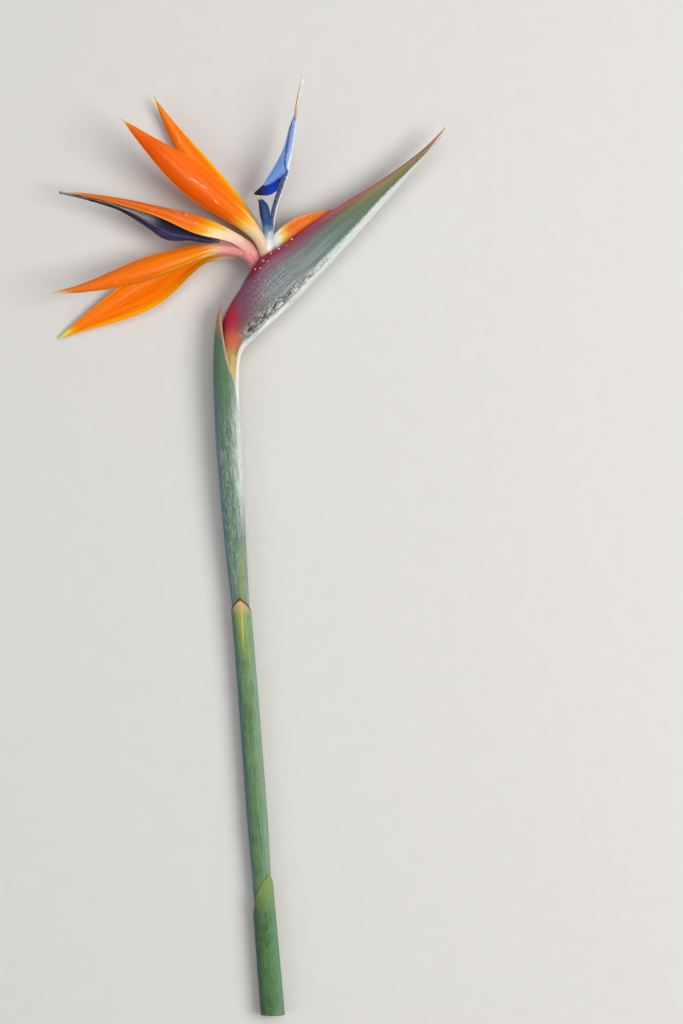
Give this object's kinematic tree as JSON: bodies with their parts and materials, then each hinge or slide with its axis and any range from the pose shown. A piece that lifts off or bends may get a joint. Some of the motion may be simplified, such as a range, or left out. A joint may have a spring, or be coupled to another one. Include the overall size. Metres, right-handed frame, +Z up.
{
  "type": "bird of paradise flower",
  "caption": "Cut bird of paradise flower: a beak-shaped spathe with orange sepals and a blue arrow-shaped tongue on a straight stalk wrapped in sheaths, lying on its side.",
  "frame": {"origin": "centre of the footprint, on the surface that the flower lies on", "axes": "+Z up from the surface, +Y along the stalk towards the flower head, +X towards the side that the spathe's beak points to"},
  "size_m": [0.2284, 0.5448, 0.0445],
  "materials": {
    "stalk": "satin",
    "lower_sheath": "satin",
    "sheath": "waxy bloom",
    "spathe": "waxy bloom",
    "sepal": "satin, fine lengthwise veins",
    "neck": "satin",
    "tongue": "satin",
    "withered_tongue": "matt, wrinkled",
    "hood": "satin",
    "stigma": "matt"
  },
  "bodies": {
    "root": {"stalk": "stalk", "sheath_lower": "lower_sheath", "sheath_middle": "sheath", "sheath_upper": "sheath", "spathe": "spathe", "floret_1_neck": "neck", "floret_1_sepal_upper": "sepal", "floret_1_sepal_middle": "sepal", "floret_1_sepal_lower": "sepal", "floret_1_tongue": "withered_tongue", "floret_2_neck": "neck", "floret_2_sepal_near": "sepal", "floret_2_sepal_far": "sepal", "floret_2_sepal_side": "sepal", "floret_2_tongue": "tongue", "floret_2_hood": "hood", "floret_2_stigma": "stigma"}
  },
  "joints": []
}
